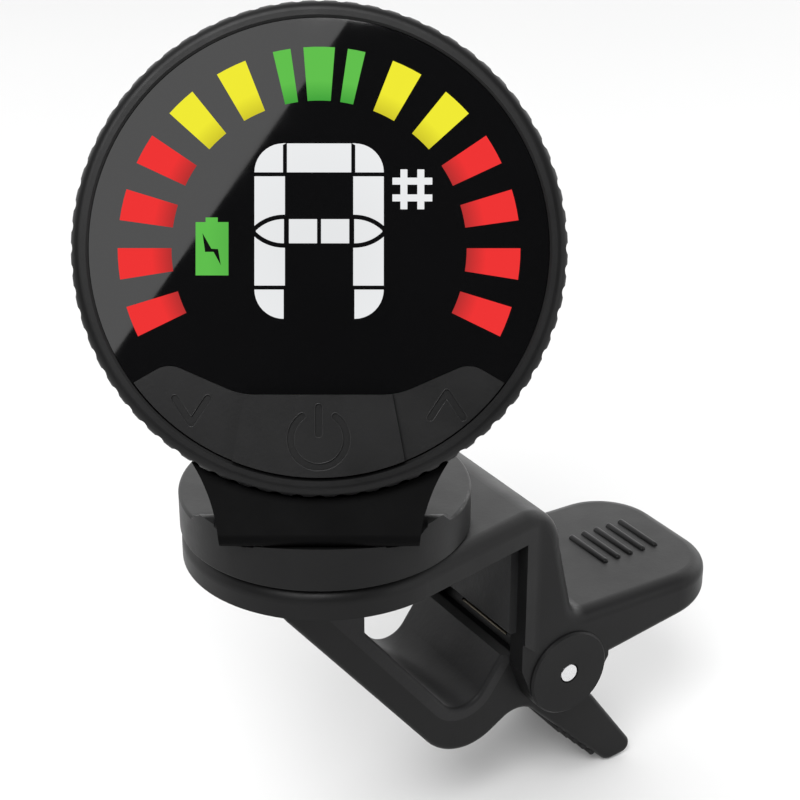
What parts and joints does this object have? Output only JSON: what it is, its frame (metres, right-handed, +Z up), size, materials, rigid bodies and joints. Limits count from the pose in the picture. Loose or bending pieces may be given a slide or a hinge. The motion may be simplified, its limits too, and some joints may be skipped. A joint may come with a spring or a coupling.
{
  "type": "clip-on instrument tuner",
  "caption": "Clip-on instrument tuner: round display head with keys on a tilting neck, a swivelling turret and a sprung clip.",
  "frame": {"origin": "on the swivel axis, at the flat face of the upper jaw pad", "axes": "+Z up along the swivel axis, +X from the mouth of the clip towards its hinge and paddle, Y along the hinge pin"},
  "size_m": [0.0579, 0.0301, 0.0757],
  "materials": {
    "arm_plastic": "fine satin",
    "housing_plastic": "fine satin",
    "pad_rubber": "soft matt",
    "key_rubber": "soft satin",
    "lens": "black window, high gloss",
    "display": "glassy",
    "diffuser": "milky",
    "circuit_board": "solder mask",
    "bright_steel": "bright",
    "dark_steel": "blackened",
    "spring_steel": "drawn wire",
    "cell_foil": "foil",
    "piezo_brass": "satin",
    "washer_nylon": "matt"
  },
  "bodies": {
    "upper_arm": {"upper_arm": "arm_plastic", "upper_pad": "pad_rubber", "jaw_pin": "bright_steel", "torsion_spring": "spring_steel"},
    "lower_jaw": {"lower_jaw": "arm_plastic", "lower_pad": "pad_rubber"},
    "turret": {"turret_cap": "arm_plastic", "tilt_pin": "bright_steel", "tilt_washers": "washer_nylon", "swivel_screw": "dark_steel", "swivel_washer": "bright_steel"},
    "head": {"bezel_ring": "housing_plastic", "display_lens": "lens", "display_panel": "display", "light_guide": "diffuser", "main_board": "circuit_board", "dome_switches": "bright_steel", "battery_cell": "cell_foil", "piezo_sensor": "piezo_brass", "usb_socket": "bright_steel", "rear_cover": "housing_plastic", "housing_screws": "dark_steel", "neck_bracket": "arm_plastic", "neck_screws": "dark_steel"},
    "key_down": {"key_down": "key_rubber"},
    "key_power": {"key_power": "key_rubber"},
    "key_up": {"key_up": "key_rubber"}
  },
  "joints": [
    {"name": "jaw_open", "type": "hinge", "parent": "upper_arm", "child": "lower_jaw", "pos_m": [0.0202, 0, -0.0144], "axis": [0, -1, 0], "range_deg": [0, 40], "stiffness_Nm_per_rad": 0.08, "springref_deg": -34.38},
    {"name": "swivel", "type": "hinge", "parent": "upper_arm", "child": "turret", "pos_m": [0, 0, 0], "axis": [0, 0, 1], "continuous": true},
    {"name": "tilt", "type": "hinge", "parent": "turret", "child": "head", "pos_m": [-0.00422, -0.0068, 0.0061], "axis": [-0.8499, 0.527, 0], "range_deg": [0, 15]},
    {"name": "press_down", "type": "slide", "parent": "head", "child": "key_down", "axis": [0.4756, 0.7671, -0.4305], "range_m": [0, 0.0003], "stiffness_N_per_m": 800, "springref_m": -0.0006},
    {"name": "press_power", "type": "slide", "parent": "head", "child": "key_power", "axis": [0.4756, 0.7671, -0.4305], "range_m": [0, 0.0003], "stiffness_N_per_m": 800, "springref_m": -0.0006},
    {"name": "press_up", "type": "slide", "parent": "head", "child": "key_up", "axis": [0.4756, 0.7671, -0.4305], "range_m": [0, 0.0003], "stiffness_N_per_m": 800, "springref_m": -0.0006}
  ]
}
